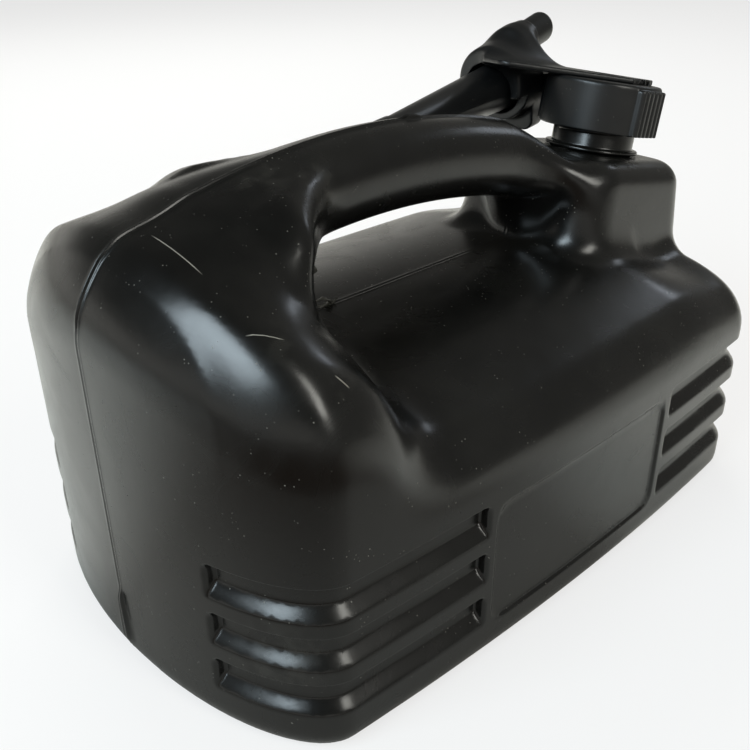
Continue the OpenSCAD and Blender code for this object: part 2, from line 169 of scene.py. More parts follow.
def skin_field(shape: Field, xs: Array, ys: Array, zs: Array, passes: int = 4) -> tuple[Array, Array]:
    """Skins a field where it is zero.

    The field is taken on a box of planes that may be unevenly spaced. Its zero surface comes back as
    quads in the planes' index space, is carried over to millimetres, and then each point is moved
    along the gradient until it lies on the field's true zero.

    Args:
        shape: The field, negative inside.
        xs: Planes across X, and ys and zs those across Y and Z.
        ys: Planes across Y.
        zs: Planes across Z.
        passes: How many times the points are moved.

    Returns:
        The points in millimetres, and the quads.
    """
    values = shape(xs[:, None, None], ys[None, :, None], zs[None, None, :])
    values = np.ascontiguousarray(np.clip(values, -FIELD_REACH, FIELD_REACH).astype(np.float32))
    grid = openvdb.FloatGrid(FIELD_REACH)
    grid.copyFromArray(values)
    points, quads = grid.convertToQuads(isovalue=0.0)
    place = [np.interp(points[:, k], np.arange(len(p)), p) for k, p in enumerate((xs, ys, zs))]
    for _ in range(passes):
        value = shape(*place)
        grad = slope(shape, *place)
        steep = np.maximum((grad ** 2).sum(axis=1), FLATTEST)
        move = np.clip(value / steep, -MOST_MOVE, MOST_MOVE)
        place = [place[k] - move * grad[:, k] for k in range(3)]
    return np.stack(place, axis=1), quads


def make_mesh(name: str, points: Array, faces: Array) -> bpy.types.Object:
    """Makes a smooth mesh object from points in millimetres and faces of three or four corners.

    Args:
        name: The piece's name.
        points: One row of three for each point.
        faces: One row of point numbers for each face.

    Returns:
        The new object, at the origin, with its faces pointing outwards.
    """
    a, b, c = (points[faces[:, k]] for k in range(3))
    volume = np.einsum("ij,ij->i", a, np.cross(b, c)).sum()
    if faces.shape[1] == 4:
        d = points[faces[:, 3]]
        volume += np.einsum("ij,ij->i", a, np.cross(c, d)).sum()
    ordered = faces if volume > 0 else faces[:, ::-1]
    mesh = bpy.data.meshes.new(name)
    mesh.from_pydata((points * MM).tolist(), [], ordered.tolist())
    mesh.polygons.foreach_set("use_smooth", np.ones(len(ordered), dtype=bool))
    mesh.update()
    piece = bpy.data.objects.new(name, mesh)
    bpy.context.scene.collection.objects.link(piece)
    return piece


def grid_faces(rows: int, columns: int) -> Array:
    """Numbers the quads of a grid of points that is closed along its columns and its rows."""
    r, c = np.meshgrid(np.arange(rows), np.arange(columns), indexing="ij")
    r1, c1 = (r + 1) % rows, (c + 1) % columns
    corners = [r * columns + c, r1 * columns + c, r1 * columns + c1, r * columns + c1]
    return np.stack(corners, -1).reshape(-1, 4)


def ribbon_faces(sections: int) -> Array:
    """Numbers the quads of a row of four-cornered sections, with a quad over either end."""
    faces = grid_faces(sections, 4)
    sides = faces[(faces.max(axis=1) - faces.min(axis=1)) < 12]
    last = 4 * sections - 4
    return np.concatenate([sides, [[3, 2, 1, 0], [last, last + 1, last + 2, last + 3]]])


def join(parts: Sequence[tuple[Array, Array]]) -> tuple[Array, Array]:
    """Puts several lots of points and quads into one."""
    start = np.cumsum([0] + [len(p) for p, _ in parts[:-1]])
    faces = [f + s for (_, f), s in zip(parts, start)]
    return np.concatenate([p for p, _ in parts]), np.concatenate(faces)


@dataclass(frozen=True)
class Lean:
    """A frame of its own: an origin, and two axes that a right angle makes three."""

    origin: tuple[float, float, float]
    x_axis: tuple[float, float, float]
    z_axis: tuple[float, float, float]

    def rows(self) -> Array:
        """Gives the three unit axes as rows."""
        x = np.array(self.x_axis)
        z = np.array(self.z_axis)
        return np.stack([x, np.cross(z, x), z])

    def inside(self, x: Array, y: Array, z: Array) -> tuple[Array, Array, Array]:
        """Carries points of the can's frame into this one."""
        dx, dy, dz = x - self.origin[0], y - self.origin[1], z - self.origin[2]
        return tuple(r[0] * dx + r[1] * dy + r[2] * dz for r in self.rows())

    def outside(self, points: Array) -> Array:
        """Carries points of this frame back into the can's."""
        return points @ self.rows() + np.array(self.origin)


@dataclass(frozen=True)
class Neck:
    """The leaning neck: its frame has its origin where the axis meets the boss."""

    x: float = 110.7
    z: float = 133.8
    lean: float = 11.0
    radius: float = 18.0
    bore: float = 15.6
    height: float = 25.5
    bead_radius: float = 20.6
    bead_z: float = 0.6
    bead_t: float = 1.4
    rim_edge: float = 0.9
    bore_edge: float = 0.5
    bead_edge: float = 0.4
    bead_rise: float = 0.35
    foot_fillet: tuple[tuple[float, float], ...] = ((0.9, 0.0), (0.45, 0.13), (0.13, 0.45), (0.0, 0.9))
    root: float = 3.0
    thread_pitch: float = 4.5
    thread_depth: float = 1.5
    thread_low: float = 8.0
    thread_high: float = 23.0
    thread_start: float = 2.4
    thread_foot: float = 1.25
    thread_crest: float = 0.45
    thread_sunk: float = 0.4
    thread_root: float = 0.5

    def frame(self) -> Lean:
        """Gives the neck's frame."""
        a = math.radians(self.lean)
        return Lean((self.x, 0.0, self.z), (math.cos(a), 0.0, -math.sin(a)), (math.sin(a), 0.0, math.cos(a)))

    def profile(self) -> Array:
        """Gives the neck's outline as radius and height, up the outside and down the bore."""
        edge, inner = self.rim_edge, self.bore_edge
        bead_top = self.bead_z + self.bead_t
        angles = np.radians(np.linspace(0, 90, 5))
        quarter = np.stack([np.cos(angles), np.sin(angles)], 1)
        rim_out = quarter * edge + [self.radius - edge, self.height - edge]
        rim_in = quarter[:, ::-1] * [-inner, inner] + [self.bore + inner, self.height - inner]
        foot = np.array(self.foot_fillet) + [self.radius, bead_top]
        lip, rise = self.bead_radius - self.bead_edge, self.bead_rise
        bead = np.array([[self.radius, -self.root], [self.radius, self.bead_z], [lip, self.bead_z],
                         [self.bead_radius, self.bead_z + rise], [self.bead_radius, bead_top - rise],
                         [lip, bead_top]])
        return np.concatenate([bead, foot, rim_out, rim_in, [[self.bore, -self.root]]])

    def mesh(self, around: int = 160) -> tuple[Array, Array]:
        """Turns the outline round the axis and adds the thread, a ridge along a helix."""
        outline = self.profile()
        angle = np.linspace(0, 2 * np.pi, around, endpoint=False)[:, None]
        ring = np.stack([outline[None, :, 0] * np.cos(angle), outline[None, :, 0] * np.sin(angle),
                         np.broadcast_to(outline[None, :, 1], (around, len(outline)))], -1)
        turned = self.frame().outside(ring.reshape(-1, 3)), grid_faces(around, len(outline))
        return join([turned, self.thread()])

    def thread(self, steps: int = 96, ramps: float = 6.0) -> tuple[Array, Array]:
        """Carries the thread's section along a helix that fades in and out at its two ends.

        Args:
            steps: Sections to a turn.
            ramps: How many ramps would fill a turn, so that each end fades over 1 / ramps of one.

        Returns:
            The points and quads of the closed ridge.
        """
        low, high = self.thread_low, self.thread_high
        turns = (high - low) / self.thread_pitch
        t = np.linspace(0, 1, int(steps * turns))[:, None]
        angle = 2 * np.pi * turns * t + self.thread_start
        fade = ease(t * turns * ramps) * ease((1 - t) * turns * ramps)
        crest = blend(-self.thread_sunk, self.thread_depth, fade)
        across = np.array([[-self.thread_foot, -self.thread_crest, self.thread_crest, self.thread_foot]])
        radius = self.radius + np.where(np.abs(across) < self.thread_foot, crest, -self.thread_root)
        height = low + (high - low) * t + across
        points = np.stack([radius * np.cos(angle), radius * np.sin(angle), height], -1)
        return self.frame().outside(points.reshape(-1, 3)), ribbon_faces(len(t))


@dataclass(frozen=True)
class CanShape:
    """The blow-moulded can's outside as one field, from the same dimensions as the CAD."""

    length: float
    width: float
    end_bulge: float = 32.0
    side_bow: float = 7.5
    base_r: float = 8.0
    base_rise: float = 1.8
    base_flat: float = 30.0
    base_dish: float = 36.0
    band_tops: tuple[float, ...] = (67.5, 48.5, 29.5)
    band_depth: float = 4.0
    band_floor: float = 8.0
    band_ramp: float = 5.0
    band_x: float = 54.7
    band_y: float = 46.6
    band_corner: float = 2.5
    band_slant: float = 1.05
    band_soft: float = 0.35
    step: float = 0.9
    panel_x: float = 49.9
    panel_low: float = 14.9
    panel_high: float = 64.9
    panel_depth: float = 1.2
    panel_corner: float = 7.0
    saddle_z: float = 106.5
    saddle_fall: float = 17.0
    deck_z: float = 94.0
    deck_fall: float = 6.0
    deck_x: float = 70.0
    deck_run: float = 45.0
    handle_z: float = 167.8
    handle_x: float = -30.0
    ridge_fall: float = 0.00173
    hump_crown: float = 0.0044
    hump_foot: float = -74.0
    hump_sweep: float = 12.0
    hump_slope: float = 66.0
    hump_front_r: float = 28.0
    hump_fillet: float = 15.0
    shoulder_r: float = 17.0
    hump_r: float = 22.0
    edge_run: float = 40.0
    handle_t: float = 30.5
    handle_w: float = 33.0
    gap_x0: float = -49.0
    gap_x1: float = 47.0
    gap_bend: float = 18.0
    leg_round: float = 18.0
    toe_round: float = 8.0
    leg_most: float = 1.8
    leg_fall: float = 36.0
    toe_fall: float = 30.0
    rear_root: float = 46.0
    rear_spread: float = 28.0
    rear_bend: float = 1.3
    rear_x: float = -98.0
    rear_dip: float = 12.0
    rear_run: float = 30.0
    rear_end: float = -122.0
    front_root: float = 40.0
    front_lead: float = 10.0
    front_spread: float = 14.0
    front_bend: float = 1.4
    nose_x: float = 44.0
    nose_dip: float = 14.0
    nose_run: float = 40.0
    nose_bend: float = 1.3
    front_end: float = 84.0
    oval: float = 2.35
    root_reach: float = 14.0
    boss_w: float = 35.5
    boss_back: float = 44.5
    boss_front: float = 28.0
    boss_corner: float = 16.0
    boss_edge: float = 9.0
    boss_reach: float = 9.0
    boss_depth: float = 44.0
    boss_draft: float = 3.0
    boss_toe: float = 7.0
    seam_height: float = 0.62
    seam_apart: float = 0.95
    seam_wide: float = 0.42
    seam_depth: float = 0.7
    groove_wide: float = 0.4
    seam_faint: float = 0.16
    seam_from: float = 131.0
    nick: tuple[float, float] = (-9.0, 0.0)
    nick_ramp: float = 1.5
    nick_gain: float = 1.6
    wedge_z: tuple[float, float] = (9.0, 33.0)
    wedge_h: float = 1.3
    wedge_half: float = 0.7
    wedge_grow: float = 1.5
    wedge_soft: float = 0.8
    grid: float = 2.2
    quick_grid: float = 4.0
    margin: float = 4.0
    neck: Neck = field(default_factory=Neck)

    def wall(self, x: Array, y: Array) -> Array:
        """Distance outside the plan outline: straight bowed sides and half-elliptical ends."""
        half_l, half_w = self.length / 2, self.width / 2
        reach = half_w * (1 - self.side_bow / half_w * (x / half_l) ** 2)
        across = y / reach
        along = np.maximum(np.abs(x) - (half_l - self.end_bulge), 0.0) / self.end_bulge
        ring = np.sqrt(along ** 2 + across ** 2 + 1e-9)
        steep = np.sqrt((along / self.end_bulge) ** 2 + (across / reach) ** 2 + 1e-13)
        return (ring - 1) * ring / steep

    def recess(self, x: Array, y: Array, z: Array) -> Array:
        """Depth of the grip bands and of the label panel at a height on the wall.

        The bands lie at the four corners only, past band_x along the can and past band_y across it.
        """
        corner = np.minimum(np.abs(x) - self.band_x, self.band_slant * (np.abs(y) - self.band_y))
        depth = 0.0
        for top in self.band_tops:
            edge = cut_round(-corner, z - top, self.band_corner)
            low = top - self.band_floor - self.band_ramp
            ramp = np.clip((z - low) / self.band_ramp, 0.0, 1.0)
            soft = blend(ramp, ease(ramp), self.band_soft)
            depth = depth + self.band_depth * ease(0.5 - edge / self.step) * soft
        panel = cut_round(np.abs(x) - self.panel_x,
                          np.maximum(self.panel_low - z, z - self.panel_high), self.panel_corner)
        return depth + self.panel_depth * ease(0.5 - panel / self.step)

    def hump_front(self, x: Array, y: Array, z: Array) -> Array:
        """Distance in front of the hump's steep front face, whose foot sweeps back towards the sides."""
        foot = self.hump_foot - self.hump_sweep * (y / (self.width / 2)) ** 2
        steep = math.radians(self.hump_slope)
        return (x - foot) * math.sin(steep) + (z - self.saddle_z) * math.cos(steep)

    def ridge(self, x: Array) -> Array:
        """Height of the parabola that the hump's and the handle's tops follow."""
        return self.handle_z - self.ridge_fall * (x - self.handle_x) ** 2

    def deck(self, x: Array, y: Array, z: Array) -> Array:
        """Distance above the saddle and the deck, which fall towards the sides and the front."""
        out = (y / (self.width / 2)) ** 2
        saddle = self.saddle_z - self.saddle_fall * out
        return z - blend(saddle, self.deck_z - self.deck_fall * out, ease((x - self.deck_x) / self.deck_run))

    def crown(self, x: Array, y: Array, z: Array) -> Array:
        """Distance above the hump's crowned top."""
        steep = np.hypot(2 * self.ridge_fall * (x - self.handle_x), 2 * self.hump_crown * y)
        return (z - self.ridge(x) + self.hump_crown * y * y) / np.sqrt(1 + steep ** 2)

    def block(self, x: Array, y: Array, z: Array) -> Array:
        """The can without its handle and boss: wall, top and base with rounded edges."""
        wall = self.wall(x, y)
        front = self.hump_front(x, y, z)
        hump = cut_round(self.crown(x, y, z), front, self.hump_front_r)
        over = join_round(self.deck(x, y, z), hump, self.hump_fillet)
        edge = blend(self.shoulder_r, self.hump_r, ease(-front / self.edge_run))
        side = wall + self.recess(x, y, z)
        hollow = self.base_rise * ease((-wall - self.base_flat) / (self.base_dish - self.base_flat))
        return cut_round(cut_round(side, over, edge), hollow - z, self.base_r)

    def handle(self, x: Array, y: Array, z: Array) -> Array:
        """The handle: oval sections across the can that widen into both roots."""
        rear = ease((self.gap_x0 - x) / self.rear_root)
        front = ease((x - self.gap_x1 + self.front_lead) / self.front_root)
        sink = self.rear_dip * ease((self.rear_x - x) / self.rear_run)
        nose = self.nose_dip * (np.maximum(0, x - self.nose_x) / self.nose_run) ** self.nose_bend
        high = self.ridge(x) - nose - sink
        swing = np.minimum((2 * y / self.handle_w) ** 2, self.leg_most)
        low = (self.ridge(x) - self.handle_t
               - self.leg_fall * ease((self.gap_x0 - x - self.leg_round * swing) / self.gap_bend)
               - self.toe_fall * ease((x - self.gap_x1 - self.toe_round * swing) / self.gap_bend))
        half = (self.handle_w / 2 + self.rear_spread * rear ** self.rear_bend
                + self.front_spread * front ** self.front_bend)
        middle, thick = (high + low) / 2, (high - low) / 2
        power = self.oval
        across, up = np.abs(y) / half, np.abs(z - middle) / thick
        ring = (across ** power + up ** power + 1e-12) ** (1 / power)
        steep = ring ** (1 - power) * np.hypot(across ** (power - 1) / half, up ** (power - 1) / thick)
        away = (ring - 1) / np.maximum(steep, 1e-3)
        return np.maximum(away, np.maximum(self.rear_end - x, x - self.front_end))

    def boss(self, x: Array, y: Array, z: Array) -> Array:
        """The boss under the neck: a leaning block with rounded corners, wider at its foot."""
        u, v, w = self.neck.frame().inside(x, y, z)
        deep = np.clip(-w / self.boss_depth, 0, 1)
        spread = self.boss_draft * deep
        along = np.maximum(u - self.boss_front - self.boss_toe * deep, -u - self.boss_back)
        plan = cut_round(along - spread, np.abs(v) - self.boss_w - spread, self.boss_corner)
        return np.maximum(cut_round(plan, w, self.boss_edge), -self.boss_depth - w)

    def seam(self, x: Array, y: Array, z: Array) -> Array:
        """Height of the parting line's flash, and of what the mould pinched off at its foot.

        The flash is two fine ridges with a groove between them. It is faint low down on the rear end,
        stands higher at one nick on the handle, and swells to a wedge near the floor.
        """
        strength = blend(self.seam_faint, 1.0, ease((z - self.seam_from) / 3.0 + 0.5))
        start, end = self.nick
        nick = ease((x - start) / self.nick_ramp) * ease((end - x) / self.nick_ramp)
        nick = nick * ease((z - self.saddle_z) / 20 - 1)
        ridges = np.exp(-((np.abs(y) - self.seam_apart) / self.seam_wide) ** 2)
        ridges = self.seam_height * (1 + self.nick_gain * nick) * ridges
        flash = strength * (ridges - self.seam_depth * np.exp(-(y / self.groove_wide) ** 2))
        rise = np.clip((self.wedge_z[1] - z) / (self.wedge_z[1] - self.wedge_z[0]), 0.0, 1.0)
        foot = ease((z - self.wedge_z[0]) / 1.5 + 1.0) * ease(-x / self.length * 8 - 3)
        half = self.wedge_half + self.wedge_grow * rise
        wedge = self.wedge_h * ease(rise * 4) * foot * ease((half - np.abs(y)) / self.wedge_soft + 0.5)
        return flash + wedge

    def outside(self, x: Array, y: Array, z: Array) -> Array:
        """The whole outside, with fillets where the handle and the boss grow out of the can."""
        solid = join_round(self.block(x, y, z), self.handle(x, y, z), self.root_reach)
        solid = join_round(solid, self.boss(x, y, z), self.boss_reach)
        return solid - self.seam(x, y, z)

    def mesh(self) -> tuple[Array, Array]:
        """Skins the outside on planes that close up at the bands' and the panel's edges."""
        step = self.grid
        margin = self.margin
        xs = levels(-self.length / 2 - margin, self.length / 2 + margin, step,
                    [(s * c, 1.2, 0.6) for s in (-1, 1) for c in (self.band_x, self.panel_x)])
        ys = levels(-self.width / 2 - margin, self.width / 2 + margin, step,
                    [(s * self.band_y, 1.2, 0.6) for s in (-1, 1)] + [(0.0, 1.6, 0.2)])
        fine = []
        for top in self.band_tops:
            floor = top - self.band_floor
            fine += [(top - 0.2, 1.2, 0.3), (floor, 0.6, 0.6), (floor - self.band_ramp, 0.6, 0.6)]
        fine += [(self.panel_low, 0.9, 0.45), (0.6, 1.2, 0.6)]
        zs = levels(-margin, self.handle_z + margin, step, fine)
        return skin_field(self.outside, xs, ys, zs)


@dataclass(frozen=True)
class MouldWebs:
    """The thin torn webs that the mould left at the finger gap's rear end, in the parting plane."""

    can: CanShape
    centre: tuple[float, float] = (-34.0, 122.0)
    reach: float = 34.0
    sunk: float = 0.8
    thick: float = 0.4
    sweep: tuple[float, float] = (158.0, 238.0)
    strands: tuple[tuple[float, float, float], ...] = ((0.05, 0.62, 4.2), (0.3, 0.97, 6.0))

    def edge(self, angle: Array) -> Array:
        """Finds how far the can's surface lies from the centre at each angle, by halving the distance."""
        near, far = np.zeros_like(angle), np.full_like(angle, self.reach)
        for _ in range(24):
            middle = (near + far) / 2
            x = self.centre[0] + middle * np.cos(angle)
            z = self.centre[1] + middle * np.sin(angle)
            open_air = self.can.outside(x, np.zeros_like(x), z) > 0
            near, far = np.where(open_air, middle, near), np.where(open_air, far, middle)
        return near

    def strip(self, low: float, high: float, outer: Callable[[Array], Array],
              inner: Callable[[Array], Array]) -> tuple[Array, Array]:
        """Makes one web between two distances from the gap's edge, given over a share of the sweep.

        Args:
            low: Where the web starts, as a share of the sweep.
            high: Where it ends.
            outer: How far its outer edge lies inside the gap's edge, in millimetres.
            inner: How far its inner edge lies inside it.

        Returns:
            The points and quads of a closed ribbon that waves a little out of the parting plane.
        """
        share = np.linspace(low, high, 72)
        turn = np.radians(blend(self.sweep[0], self.sweep[1], share))
        rim = self.edge(turn)
        wave = 0.9 * np.sin(17 * share + 4 * low) + 0.5 * np.sin(41 * share)
        across = np.array([[0, 1], [0, -1], [1, -1], [1, 1]], dtype=float)
        depth = blend(outer(share)[:, None], inner(share)[:, None], across[None, :, 0])
        radius = rim[:, None] - depth
        x = self.centre[0] + radius * np.cos(turn)[:, None]
        z = self.centre[1] + radius * np.sin(turn)[:, None]
        y = wave[:, None] * across[None, :, 0] + across[None, :, 1] * self.thick / 2
        return np.stack([x, y, z], -1).reshape(-1, 3), ribbon_faces(len(share))

    def mesh(self) -> tuple[Array, Array]:
        """Puts a ragged web on the gap's edge and two loose strands that leave it and come back."""
        ragged = self.strip(0.0, 1.0, lambda s: -self.sunk + 0 * s,
                            lambda s: 1.3 + 0.9 * np.sin(23 * s) ** 2 + 0.7 * np.sin(57 * s + 1))

        def bow(low: float, high: float, height: float, aside: float) -> Callable[[Array], Array]:
            """Gives the distance of one edge of a strand that bows out between low and high."""
            return lambda s: height * np.sin(np.pi * (s - low) / (high - low)) + aside

        loose = [self.strip(low, high, bow(low, high, height, -0.2), bow(low, high, height, 0.8))
                 for low, high, height in self.strands]
        return join([ragged, *loose])


@dataclass(frozen=True)
class CapShape:
    """The screw cap: a skirt with a roof, two ribbed lugs, and the stud that carries the holder."""

    neck: Neck = field(default_factory=Neck)
    radius: float = 25.0
    inner: float = 20.2
    low: float = 9.5
    roof: float = 27.1
    high: float = 30.1
    top_edge: float = 1.5
    foot_edge: float = 0.5
    lug_reach: float = 26.4
    lug_w: float = 19.0
    lug_round: float = 2.6
    groove_n: int = 5
    groove_pitch: float = 3.2
    groove_r: float = 0.85
    stud_r: float = 7.0
    stud_lip: float = 8.1
    stud_h: float = 1.1
    lip_t: float = 1.1

    def field(self, u: Array, v: Array, w: Array) -> Array:
        """The cap in the neck's frame, negative inside."""
        rho = np.hypot(u, v)
        drum = cut_round(cut_round(rho - self.radius, w - self.high, self.top_edge),
                         self.low - w, self.foot_edge)
        lug = cut_round(np.abs(u) - self.lug_w / 2, np.abs(v) - self.lug_reach, self.lug_round)
        lug = cut_round(cut_round(lug, w - self.high + self.top_edge, 0.8), self.low - w, self.foot_edge)
        for k in range(self.groove_n):
            place = (k - (self.groove_n - 1) / 2) * self.groove_pitch
            lug = np.maximum(lug, self.groove_r - np.hypot(u - place, np.abs(v) - self.lug_reach))
        solid = join_round(drum, lug, 0.8)
        stud = cut_round(rho - self.stud_r, w - self.high - self.stud_h - self.lip_t, 0.2)
        lip = cut_round(cut_round(rho - self.stud_lip, w - self.high - self.stud_h - self.lip_t, 0.3),
                        self.high + self.stud_h - w, 0.2)
        solid = np.minimum(np.minimum(solid, stud), lip)
        bore = cut_round(rho - self.inner, w - self.roof, 0.6)
        well = np.maximum(rho - self.stud_r + 2.2, self.high - w)
        return np.maximum(np.maximum(solid, -bore), -well)

    def mesh(self) -> tuple[Array, Array]:
        """Skins the cap in its own frame and carries it to the neck."""
        step = 0.6
        reach = self.lug_reach + 2
        grooves = [(k - (self.groove_n - 1) / 2) * self.groove_pitch for k in range(self.groove_n)]
        us = levels(-reach, reach, step, [(g, 0.9, 0.3) for g in grooves])
        vs = levels(-reach, reach, step, [(s * self.lug_reach, 1.0, 0.35) for s in (-1, 1)])
        ws = levels(self.low - 2, self.high + 4, step, [(self.low + 0.3, 0.6, 0.3), (self.high, 0.6, 0.3)])
        points, faces = skin_field(self.field, us, vs, ws)
        return self.neck.frame().outside(points), faces


@dataclass(frozen=True)
class Stow:
    """The stowed spout's frame: its origin is in the socket's mouth, Z runs to the neck and -X upwards."""

    neck: Neck = field(default_factory=Neck)
    back: float = 14.7
    aside: float = 44.0
    up: float = 23.2
    splay: float = 5.0
    rise: float = 6.0

    def frame(self) -> Lean:
        """Gives the frame."""
        turn, tilt = math.radians(self.splay), math.radians(90 - self.rise)
        x_axis = (math.cos(tilt) * math.cos(turn), math.cos(tilt) * math.sin(turn), -math.sin(tilt))
        z_axis = (math.sin(tilt) * math.cos(turn), math.sin(tilt) * math.sin(turn), math.cos(tilt))
        return Lean((self.neck.x - self.back, self.aside, self.neck.z + self.up), x_axis, z_axis)


@dataclass(frozen=True)
class HolderShape:
    """The spout holder: a sheet on the cap that swells into a hood round the socket, with a horn on top."""

    stow: Stow = field(default_factory=Stow)
    sheet_low: float = 30.1
    sheet_t: float = 2.4
    plate_r: float = 11.5
    corners: tuple[tuple[float, float], ...] = ((-40.0, 24.0), (-34.0, 38.0), (-4.0, 40.0))
    corner_r: float = 4.0
    socket_r: float = 12.3
    socket_d: float = 14.0
    wall: float = 2.0
    hood_l: float = 23.0
    hood_flare: float = 2.6
    hood_lift: float = 2.0
    hood_wall: float = 4.4
    skirt_low: float = 21.0
    skirt_w: float = 14.6
    skirt_t: float = 9.0
    horn_lift: float = 18.6
    horn_r: float = 8.0
    horn_rise: float = 0.13
    horn_low: float = 9.0
    horn_high: float = 37.0
    horn_tip: float = 15.0
    horn_step: float = 1.1
    lug_reach: float = 27.2
    stud_r: float = 7.1
    lip_r: float = 8.2
    lip_h: float = 1.0
    swell: float = 9.0
    sheet_edge: float = 0.9
    hood_edge: float = 2.0
    horn_edge: float = 1.2
    tip_edge: float = 2.4
    horn_fillet: float = 8.0
    skirt_corner: float = 5.0
    skirt_edge: float = 0.7
    fine_fillet: float = 1.6
    socket_edge: float = 0.4
    belly_x: float = 2.0

    def edge(self, a: Array, b: Array, first: tuple[float, float, float],
             second: tuple[float, float, float]) -> Array:
        """Distance outside the line that touches two circles, each given as centre and radius."""
        along = np.array(second[:2]) - np.array(first[:2])
        length = float(np.hypot(*along))
        along = along / length
        lean = (first[2] - second[2]) / length
        side = np.array([along[1], -along[0]]) * math.sqrt(1 - lean ** 2) + along * lean
        return side[0] * (a - first[0]) + side[1] * (b - first[1]) - first[2]

    def sheet(self, a: Array, b: Array, c: Array) -> Array:
        """The sheet in the neck's frame: four straight edges with rounded corners."""
        rounds = [(0.0, 0.0, self.plate_r)] + [(p, q, self.corner_r) for p, q in self.corners]
        edges = [self.edge(a, b, rounds[(k + 1) % 4], rounds[k]) for k in range(4)]
        plan = cut_round(edges[0], edges[3], self.plate_r)
        plan = cut_round(cut_round(plan, edges[1], self.corner_r), edges[2], self.corner_r)
        middle = self.sheet_low + self.sheet_t / 2
        return cut_round(plan, np.abs(c - middle) - self.sheet_t / 2, self.sheet_edge)

    def outside(self, x: Array, y: Array, z: Array) -> Array:
        """The holder without its hollows."""
        u, v, w = self.stow.frame().inside(x, y, z)
        a, b, c = self.stow.neck.frame().inside(x, y, z)
        back = self.hood_l - self.socket_d - self.wall
        radius = self.socket_r + self.hood_wall + self.hood_flare * (w + back) / self.hood_l
        cone = (np.hypot(u + self.hood_lift, v) - radius) / math.hypot(1, self.hood_flare / self.hood_l)
        middle = (self.socket_d + self.wall - back) / 2
        hood = cut_round(cone, np.abs(w - middle) - self.hood_l / 2, self.hood_edge)
        ring = np.hypot(u + self.horn_lift + self.horn_rise * (w - self.horn_high), v)
        step = self.horn_high - self.horn_tip
        thick = cut_round(ring - self.horn_r, np.maximum(self.horn_low - w, w - step), self.horn_edge)
        thin = cut_round(ring - self.horn_r + self.horn_step,
                         np.maximum(self.horn_low - w, w - self.horn_high), self.tip_edge)
        solid = join_round(join_round(hood, thick, self.horn_fillet), self.sheet(a, b, c), self.swell)
        far = self.socket_d + self.wall
        skirt = cut_round(np.maximum(-u, np.abs(v) - self.skirt_w), u - self.skirt_low, self.skirt_corner)
        skirt = cut_round(skirt, np.maximum(far - self.skirt_t - w, w - far), self.skirt_edge)
        return join_round(join_round(solid, thin, self.fine_fillet), skirt, self.fine_fillet)

    def field(self, x: Array, y: Array, z: Array) -> Array:
        """The whole holder: the outside less the socket, the hood's open belly and the cap's room."""
        u, v, w = self.stow.frame().inside(x, y, z)
        a, b, c = self.stow.neck.frame().inside(x, y, z)
        socket = cut_round(np.hypot(u, v) - self.socket_r, w - self.socket_d, self.socket_edge)
        belly = np.maximum(w, self.belly_x - u)
        rho = np.hypot(a, b)
        room = np.maximum(rho - self.lug_reach, c - self.sheet_low)
        hole = np.maximum(rho - self.stud_r, self.sheet_low - 1 - c)
        seat = np.maximum(rho - self.lip_r, self.sheet_low + self.lip_h - c)
        hollow = np.minimum(np.minimum(socket, belly), np.minimum(room, np.minimum(hole, seat)))
        return np.maximum(self.outside(x, y, z), -hollow)

    def mesh(self) -> tuple[Array, Array]:
        """Skins the holder in the can's frame."""
        step = 0.62
        neck = self.stow.neck
        xs = np.arange(neck.x - 48.0, neck.x + 28.0, step)
        ys = np.arange(-14.0, self.stow.aside + 24.0, step)
        zs = np.arange(neck.z - 3.0, neck.z + 56.0, step)
        return skin_field(self.field, xs, ys, zs)


